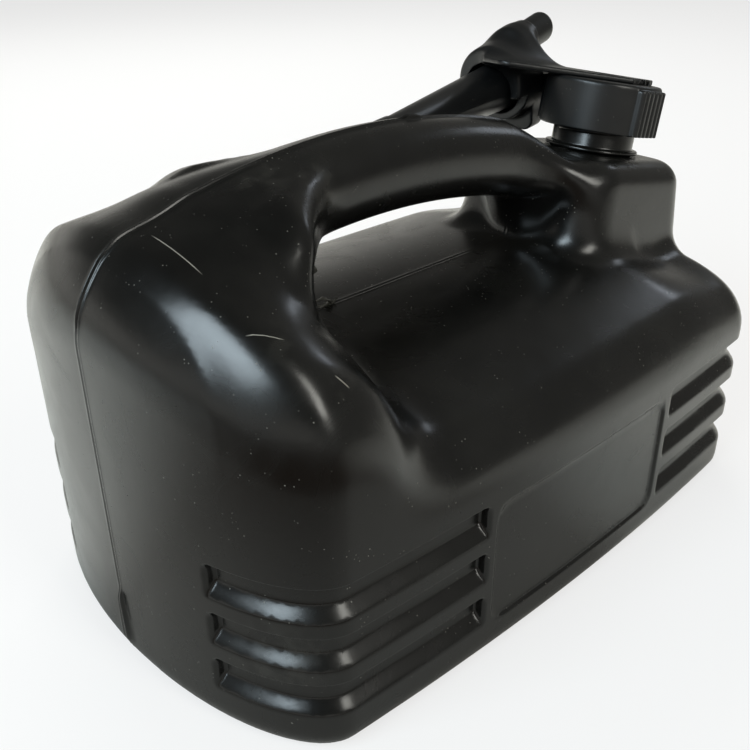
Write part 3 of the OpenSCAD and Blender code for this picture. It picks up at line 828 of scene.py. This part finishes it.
@dataclass(frozen=True)
class SpoutShape:
    """The pouring spout: a tapered tube with a flange, a collar and a narrow tip, turned round its axis."""

    stow: Stow = field(default_factory=Stow)
    length: float = 128.0
    socket_d: float = 14.0
    root_r: float = 11.2
    mid_r: float = 7.2
    tip_r: float = 5.2
    tip_l: float = 26.0
    tip_draw: float = 1.2
    wall: float = 1.7
    flange_r: float = 12.2
    flange_t: float = 2.2
    collar_l: float = 14.0
    collar_h: float = 0.6
    root_l: float = 6.0

    def profile(self) -> Array:
        """Gives the outline as radius and height, up the outside and back down the bore."""
        end, top = self.socket_d - self.length, self.socket_d
        step, root = end + self.tip_l, top - self.flange_t - self.root_l
        collar = step + self.collar_l
        neck_r, collar_r = self.mid_r - self.tip_draw, self.mid_r + self.collar_h
        ridge = [(collar_r, collar - 0.5), (collar_r - 0.2, collar - 0.1), (self.mid_r + 0.1, collar + 0.4)]
        outer = [(self.tip_r - 0.5, end), (self.tip_r - 0.1, end + 0.2), (self.tip_r, end + 0.6),
                 (neck_r, step - 0.3), (neck_r + 0.2, step), (collar_r - 0.4, step + 0.1),
                 (collar_r, step + 0.6)] + ridge
        flange = [(self.root_r, root), (self.root_r, top - self.flange_t - 0.4),
                  (self.root_r + 0.3, top - self.flange_t), (self.flange_r - 0.3, top - self.flange_t),
                  (self.flange_r, top - self.flange_t + 0.4), (self.flange_r, top - 0.4),
                  (self.flange_r - 0.4, top)]
        bore = [(self.root_r - self.wall, top), (self.root_r - self.wall, root),
                (self.mid_r - self.wall, collar), (neck_r - self.wall, step), (self.tip_r - self.wall, end)]
        return np.array(outer + flange + bore)

    def mesh(self, around: int = 96) -> tuple[Array, Array]:
        """Turns the outline round the axis, with a fine mould line along the two sides."""
        outline = self.profile()
        angle = np.linspace(0, 2 * np.pi, around, endpoint=False)[:, None]
        line = 0.12 * np.exp(-((np.abs(np.sin(angle)) - 1.0) / 0.004) ** 2)
        outer = np.arange(len(outline))[None, :] < len(outline) - 5
        radius = outline[None, :, 0] + line * outer
        ring = np.stack([radius * np.cos(angle), radius * np.sin(angle),
                         np.broadcast_to(outline[None, :, 1], radius.shape)], -1)
        return self.stow.frame().outside(ring.reshape(-1, 3)), grid_faces(around, len(outline))


def linear(hex_colour: str) -> tuple[float, float, float, float]:
    """Turns an sRGB hex colour to linear values, with full alpha."""
    parts = [int(hex_colour[k:k + 2], 16) / 255 for k in (1, 3, 5)]
    values = [c / 12.92 if c <= 0.04045 else ((c + 0.055) / 1.055) ** 2.4 for c in parts]
    return values[0], values[1], values[2], 1.0


def node(tree: bpy.types.NodeTree, kind: str, settings: dict | None = None, inputs: dict | None = None,
         links: dict | None = None) -> bpy.types.Node:
    """Adds a shader node with its settings and links.

    Args:
        tree: The material's node tree.
        kind: The node's type.
        settings: Attributes to set.
        inputs: Socket values by name or number.
        links: Output sockets to link, by the input's name or number.

    Returns:
        The new node.
    """
    made = tree.nodes.new(kind)
    for name, value in (settings or {}).items():
        setattr(made, name, value)
    for name, value in (inputs or {}).items():
        made.inputs[name].default_value = value
    for name, socket in (links or {}).items():
        tree.links.new(socket, made.inputs[name])
    return made


def maths(tree: bpy.types.NodeTree, operation: str, first: bpy.types.NodeSocket,
          second: bpy.types.NodeSocket | float | None = None, clamp: bool = False) -> bpy.types.NodeSocket:
    """Works on one or two numbers, of which the second may be a socket or a value."""
    linked = isinstance(second, bpy.types.NodeSocket)
    links = {0: first, 1: second} if linked else {0: first}
    inputs = {} if linked or second is None else {1: second}
    settings = {"operation": operation, "use_clamp": clamp}
    return node(tree, "ShaderNodeMath", settings, inputs, links).outputs[0]


def vector_maths(tree: bpy.types.NodeTree, operation: str, first: bpy.types.NodeSocket,
                 second: Sequence[float] | None = None) -> bpy.types.NodeSocket:
    """Works on a vector, alone or with a fixed second one, and gives a vector or a number."""
    inputs = {} if second is None else {1: tuple(second)}
    made = node(tree, "ShaderNodeVectorMath", {"operation": operation}, inputs, {0: first})
    return made.outputs["Value" if operation in ("DOT_PRODUCT", "DISTANCE", "LENGTH") else 0]


def remap(tree: bpy.types.NodeTree, value: bpy.types.NodeSocket, low: float, high: float,
          to_low: float = 0.0, to_high: float = 1.0, smooth: bool = False) -> bpy.types.NodeSocket:
    """Carries a value from the range low to high over to another range, and holds it within that."""
    kind = {"interpolation_type": "SMOOTHSTEP" if smooth else "LINEAR"}
    given = {"From Min": low, "From Max": high, "To Min": to_low, "To Max": to_high}
    return node(tree, "ShaderNodeMapRange", kind, given, {"Value": value}).outputs[0]


def noise(tree: bpy.types.NodeTree, place: bpy.types.NodeSocket, **inputs: float) -> bpy.types.NodeSocket:
    """Adds a cloudy noise, whose settings are given by their sockets' names."""
    return node(tree, "ShaderNodeTexNoise", inputs=inputs, links={"Vector": place}).outputs["Fac"]


def upright(tree: bpy.types.NodeTree, vector: bpy.types.NodeSocket) -> bpy.types.NodeSocket:
    """Gives a vector's Z."""
    return node(tree, "ShaderNodeSeparateXYZ", links={0: vector}).outputs["Z"]


@dataclass(frozen=True)
class MouldedPlastic:
    """Black moulded polyolefin: a satin skin that mirrors soft light, with fine orange peel and dust.

    Its IOR is that of polyethylene. Dust lies where the surface faces up, in specks and in a thin film,
    and it is paler and rougher than the plastic.
    """

    name: str
    colour: str = "#0b0b0a"
    dust: str = "#8d8a80"
    roughness: float = 0.25
    dust_roughness: float = 0.85
    peel_mm: float = 1.3
    peel_depth: float = 0.04
    film: float = 0.022
    specks: float = 0.45
    smear: float = 0.03
    ior: float = 1.51
    scratches: tuple[tuple[Point, Point], ...] = ()
    patches: tuple[tuple[Point, float, float], ...] = ()

    def scratch(self, tree: bpy.types.NodeTree, place: bpy.types.NodeSocket, start: Point,
                end: Point) -> bpy.types.NodeSocket:
        """Draws one fine broken line from start to end: 1 on the line, 0 away from it.

        Args:
            tree: The material's node tree.
            place: The point being shaded, in metres.
            start: The line's start in millimetres.
            end: The line's end.

        Returns:
            The socket that holds the line's strength.
        """
        first, last = np.array(start) * MM, np.array(end) * MM
        length = float(np.linalg.norm(last - first))
        way = tuple((last - first) / length)
        rel = vector_maths(tree, "SUBTRACT", place, first)
        aside = maths(tree, "ABSOLUTE", upright(tree, vector_maths(tree, "CROSS_PRODUCT", rel, way)))
        line = remap(tree, aside, 0.2 * MM, 0.05 * MM)
        middle = maths(tree, "SUBTRACT", vector_maths(tree, "DOT_PRODUCT", rel, way), length / 2)
        ends = remap(tree, maths(tree, "ABSOLUTE", middle), length / 2, length / 3)
        near = remap(tree, maths(tree, "ABSOLUTE", upright(tree, rel)), 0.03, 0.025)
        return maths(tree, "MULTIPLY", maths(tree, "MULTIPLY", line, ends), near)

    def patch(self, tree: bpy.types.NodeTree, place: bpy.types.NodeSocket, grain: bpy.types.NodeSocket,
              centre: Point, radius: float, strength: float) -> bpy.types.NodeSocket:
        """Lays one soft patch of grainy dust round a centre.

        Args:
            tree: The material's node tree.
            place: The point being shaded, in metres.
            grain: The fine noise that breaks the dust up.
            centre: The patch's centre in millimetres.
            radius: Its radius in millimetres.
            strength: How much dust lies at its centre.

        Returns:
            The socket that holds the dust.
        """
        apart = vector_maths(tree, "DISTANCE", place, np.array(centre) * MM)
        soft = remap(tree, apart, radius * MM, 0.2 * radius * MM, to_high=strength, smooth=True)
        return maths(tree, "MULTIPLY", soft, grain)

    def build(self) -> bpy.types.Material:
        """Makes the material."""
        material = bpy.data.materials.new(self.name)
        material.use_nodes = True
        tree = material.node_tree
        tree.nodes.clear()
        place = node(tree, "ShaderNodeTexCoord").outputs["Object"]
        normal = node(tree, "ShaderNodeNewGeometry").outputs["Normal"]
        upward = remap(tree, upright(tree, normal), 0.15, 0.95, smooth=True)
        cloud = remap(tree, noise(tree, place, Scale=26.0, Detail=5.0, Roughness=0.6), 0.38, 0.72)
        grit = node(tree, "ShaderNodeTexVoronoi", {"feature": "F1"}, {"Scale": 560.0},
                    {"Vector": place}).outputs["Distance"]
        pick = noise(tree, place, Scale=160.0, Detail=2.0)
        sparse = maths(tree, "MULTIPLY", remap(tree, grit, 0.16, 0.08), remap(tree, pick, 0.56, 0.66))
        strong = maths(tree, "MULTIPLY", sparse, self.specks)
        thin = maths(tree, "MULTIPLY", maths(tree, "MULTIPLY", cloud, upward), self.film)
        dusty = maths(tree, "ADD", strong, thin, clamp=True)
        broken = remap(tree, pick, 0.42, 0.62)
        marks = [self.scratch(tree, place, *line) for line in self.scratches]
        marks += [self.patch(tree, place, broken, *spot) for spot in self.patches]
        for mark in marks:
            dusty = maths(tree, "MAXIMUM", dusty, mark)
        tint = node(tree, "ShaderNodeMix", {"data_type": "RGBA"},
                    {"A": linear(self.colour), "B": linear(self.dust)}, {"Factor": dusty})
        worn = remap(tree, dusty, 0.0, 1.0, self.roughness, self.dust_roughness)
        wiped = noise(tree, place, Scale=34.0, Detail=4.0, Distortion=1.6)
        rough = maths(tree, "ADD", worn, remap(tree, wiped, 0.35, 0.65, -self.smear, self.smear))
        peel = noise(tree, place, Scale=1000.0 / self.peel_mm / 2, Detail=2.0)
        bump = node(tree, "ShaderNodeBump", inputs={"Strength": 0.5, "Distance": self.peel_depth * MM},
                    links={"Height": peel}).outputs[0]
        shader = node(tree, "ShaderNodeBsdfPrincipled", inputs={"IOR": self.ior},
                      links={"Base Color": tint.outputs["Result"], "Roughness": rough, "Normal": bump})
        node(tree, "ShaderNodeOutputMaterial", links={"Surface": shader.outputs[0]})
        return material


@dataclass(frozen=True)
class Studio:
    """The pale floor, the soft lamps, and the camera that was fitted to the photograph."""

    eye: tuple[float, float, float] = (-243.9, -235.2, 247.4)
    # The side towards which reflections of the floor get a painted shadow.
    painted_shadow_side: tuple[float, float, float] = (-0.684, -0.729, 0.0)
    open_side: tuple[float, float, float] = (0.84, -0.54, 0.0)
    azimuth: float = -43.2
    elevation: float = 29.0
    roll: float = -0.3
    lens: float = 44.43
    floor_glow: float = 0.7
    open_glow: float = 0.22

    def axes(self) -> tuple[Vector, Vector, Vector]:
        """Works out the camera's right, up and back from its three angles."""
        a, e, r = (math.radians(v) for v in (self.azimuth, self.elevation, self.roll))
        back = Vector((math.sin(a) * math.cos(e), -math.cos(a) * math.cos(e), math.sin(e)))
        right = (-back).cross(Vector((0, 0, 1))).normalized()
        up = right.cross(-back)
        c, s = math.cos(r), math.sin(r)
        return c * right + s * up, -s * right + c * up, back

    def camera(self) -> None:
        """Adds the camera and makes it the scene's."""
        data = bpy.data.cameras.new("camera")
        data.lens = self.lens
        data.sensor_width = 36.0
        data.clip_start = 0.01
        camera = bpy.data.objects.new("camera", data)
        right, up, back = self.axes()
        place = Matrix((right, up, back)).transposed().to_4x4()
        place.translation = Vector(self.eye) * MM
        camera.matrix_world = place
        bpy.context.scene.collection.objects.link(camera)
        bpy.context.scene.camera = camera

    def lamp(self, name: str, place: tuple[float, float, float], aim: tuple[float, float, float],
             size: tuple[float, float], watts: float, colour: str = "#ffffff", roll: float = 0.0,
             mirrored: bool = True) -> None:
        """Adds a rectangular soft lamp.

        Args:
            name: The lamp's name.
            place: Where it stands, in metres.
            aim: The point that it faces.
            size: Its width and height.
            watts: Its power.
            colour: Its colour.
            roll: How far it is turned about the line to its aim, in degrees.
            mirrored: Whether it shows in reflections.
        """
        data = bpy.data.lights.new(name, "AREA")
        data.shape = "RECTANGLE"
        data.size, data.size_y = size
        data.energy = watts
        data.color = linear(colour)[:3]
        lamp = bpy.data.objects.new(name, data)
        lamp.location = place
        turn = (Vector(aim) - Vector(place)).to_track_quat("-Z", "Y").to_matrix()
        lamp.rotation_euler = (turn @ Matrix.Rotation(math.radians(roll), 3, "Z")).to_euler()
        lamp.visible_glossy = mirrored
        bpy.context.scene.collection.objects.link(lamp)

    def floor(self) -> None:
        """Adds the floor. It shows white to the camera and keeps the can's shadow.

        In reflections it is painted darker and browner on the side from which the can was looked at: a
        painted shadow and a painted brown reflection of someone standing there, painted lighter again close
        to the can.
        """
        side = 6.0
        corners = np.array([[-side, -side, 0], [side, -side, 0], [side, side, 0], [-side, side, 0]]) / MM
        floor = make_mesh("floor", corners, np.array([[0, 1, 2, 3]]))
        material = bpy.data.materials.new("pale_floor")
        material.use_nodes = True
        tree = material.node_tree
        tree.nodes.clear()
        path = node(tree, "ShaderNodeLightPath")
        seen = maths(tree, "MULTIPLY", path.outputs["Is Camera Ray"], self.floor_glow)
        place = node(tree, "ShaderNodeTexCoord").outputs["Object"]
        # Painted shade: in reflections the floor turns dark brown towards the camera's side, a painted shadow
        # and reflection of someone standing there, and is painted lighter again near the can.
        near = vector_maths(tree, "DOT_PRODUCT", vector_maths(tree, "NORMALIZE", place), self.painted_shadow_side)
        light = remap(tree, near, 0.96, 0.15, smooth=True)
        close = remap(tree, vector_maths(tree, "LENGTH", place), 0.16, 0.36, 0.5, 0.0, smooth=True)
        light = maths(tree, "MAXIMUM", light, close)
        # Dark brown is the painted shadow's colour, pale cream the floor's own colour in reflections.
        mirrored = node(tree, "ShaderNodeMix", {"data_type": "RGBA"},
                        {"A": linear("#4a3424"), "B": linear("#fbf9f2")}, {"Factor": light}).outputs["Result"]
        shade = node(tree, "ShaderNodeMix", {"data_type": "RGBA"}, {"A": linear("#e9e9e8")},
                     {"Factor": path.outputs["Is Glossy Ray"], "B": mirrored}).outputs["Result"]
        matt = node(tree, "ShaderNodeBsdfDiffuse", links={"Color": shade})
        white = node(tree, "ShaderNodeEmission", inputs={"Color": linear("#ffffff"), "Strength": 1.0})
        mix = node(tree, "ShaderNodeMixShader", links={0: seen, 1: matt.outputs[0], 2: white.outputs[0]})
        node(tree, "ShaderNodeOutputMaterial", links={"Surface": mix.outputs[0]})
        floor.data.materials.append(material)

    def world(self) -> None:
        """Fills the room with plain pale light.

        Reflections show a pale horizon under a dim room that is a little lighter on its open side.
        """
        world = bpy.data.worlds.new("room")
        world.use_nodes = True
        tree = world.node_tree
        tree.nodes.clear()
        path = node(tree, "ShaderNodeLightPath")
        toward = node(tree, "ShaderNodeTexCoord").outputs["Generated"]
        horizon = remap(tree, upright(tree, toward), 0.05, 0.32, 0.9, 0.08, smooth=True)
        wall = remap(tree, vector_maths(tree, "DOT_PRODUCT", toward, self.open_side), -0.1, 0.8, smooth=True)
        glow = node(tree, "ShaderNodeMix", inputs={"B": self.open_glow},
                    links={"Factor": wall, "A": horizon}).outputs["Result"]
        room = node(tree, "ShaderNodeBackground", inputs={0: linear("#f6f4ec")}, links={1: glow})
        soft = node(tree, "ShaderNodeBackground", inputs={0: linear("#f4f2ec"), 1: 0.35})
        white = node(tree, "ShaderNodeBackground", inputs={0: linear("#ffffff"), 1: 1.0})
        other = node(tree, "ShaderNodeMixShader",
                     links={0: path.outputs["Is Glossy Ray"], 1: soft.outputs[0], 2: room.outputs[0]})
        mix = node(tree, "ShaderNodeMixShader",
                   links={0: path.outputs["Is Camera Ray"], 1: other.outputs[0], 2: white.outputs[0]})
        node(tree, "ShaderNodeOutputWorld", links={0: mix.outputs[0]})
        bpy.context.scene.world = world

    def build(self) -> None:
        """Sets the whole stage."""
        bpy.context.scene.view_settings.view_transform = "Standard"
        self.camera()
        self.floor()
        self.world()
        centre = (0.0, 0.0, 0.09)
        self.lamp("window", (-1.16, -0.06, 0.96), centre, (1.0, 0.4), 16.5, "#def0fa", -40.0)
        self.lamp("side", (0.0, -1.2, 0.95), centre, (0.4, 0.8), 8.0, "#fdfcf4")
        self.lamp("back", (0.5, 1.0, 0.9), centre, (1.0, 0.6), 10.0, "#fbf9f4", mirrored=False)
        self.lamp("far", (1.2, 0.1, 0.74), centre, (0.3, 0.12), 0.5, "#e4eefa")


def dress(piece: bpy.types.Object, material: bpy.types.Material, body: Body,
          replaced: Sequence[str] = ()) -> None:
    """Gives a piece its material, its body and the CAD nodes that it stands for."""
    piece.data.materials.append(material)
    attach(piece, body.value)
    if replaced:
        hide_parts(*replaced)
    LOG.info("%s: %d faces", piece.name, len(piece.data.polygons))


def finish_node(frame: dict, name: str, material: bpy.types.Material) -> None:
    """Gives a carried-over CAD node its material."""
    data = frame["nodes"][name].data
    data.materials.clear()
    data.materials.append(material)


def main() -> None:
    """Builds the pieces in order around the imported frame."""
    logging.basicConfig(level=logging.INFO, format="%(message)s")
    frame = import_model()
    Studio().build()

    low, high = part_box("can_body")
    can = CanShape(length=(high[0] - low[0]) / MM, width=(high[1] - low[1]) / MM)
    skin = MouldedPlastic("blown_black_polyethylene", scratches=SCRATCHES, patches=PATCHES).build()
    shell = make_mesh("can_shell", *can.mesh())
    dress(shell, skin, Body.CAN, ["can_body"])
    webs = make_mesh("mould_webs", *MouldWebs(can).mesh())
    flash = MouldedPlastic("thin_black_flash", colour="#34342f", roughness=0.5).build()
    dress(webs, flash, Body.CAN)
    neck = make_mesh("neck_with_thread", *can.neck.mesh())
    dress(neck, skin, Body.CAN)

    moulded = MouldedPlastic("moulded_black_polypropylene", colour="#101112", roughness=0.36,
                             film=0.02, specks=0.35).build()
    cap = make_mesh("ribbed_cap", *CapShape(neck=can.neck).mesh())
    dress(cap, moulded, Body.CAP, ["screw_cap"])
    stow = Stow(neck=can.neck)
    holder = make_mesh("hooded_holder", *HolderShape(stow=stow).mesh())
    dress(holder, moulded, Body.HOLDER, ["spout_holder"])
    spout = make_mesh("turned_spout", *SpoutShape(stow=stow).mesh())
    dress(spout, moulded, Body.SPOUT, ["pouring_spout"])
    foam = MouldedPlastic("foamed_sealing_liner", colour="#b9b7ae", dust="#9a988f", roughness=0.7,
                          peel_mm=0.7, peel_depth=0.06, film=0.0, specks=0.0, ior=1.49)
    finish_node(frame, "sealing_disc", foam.build())


if __name__ == "__main__":
    main()
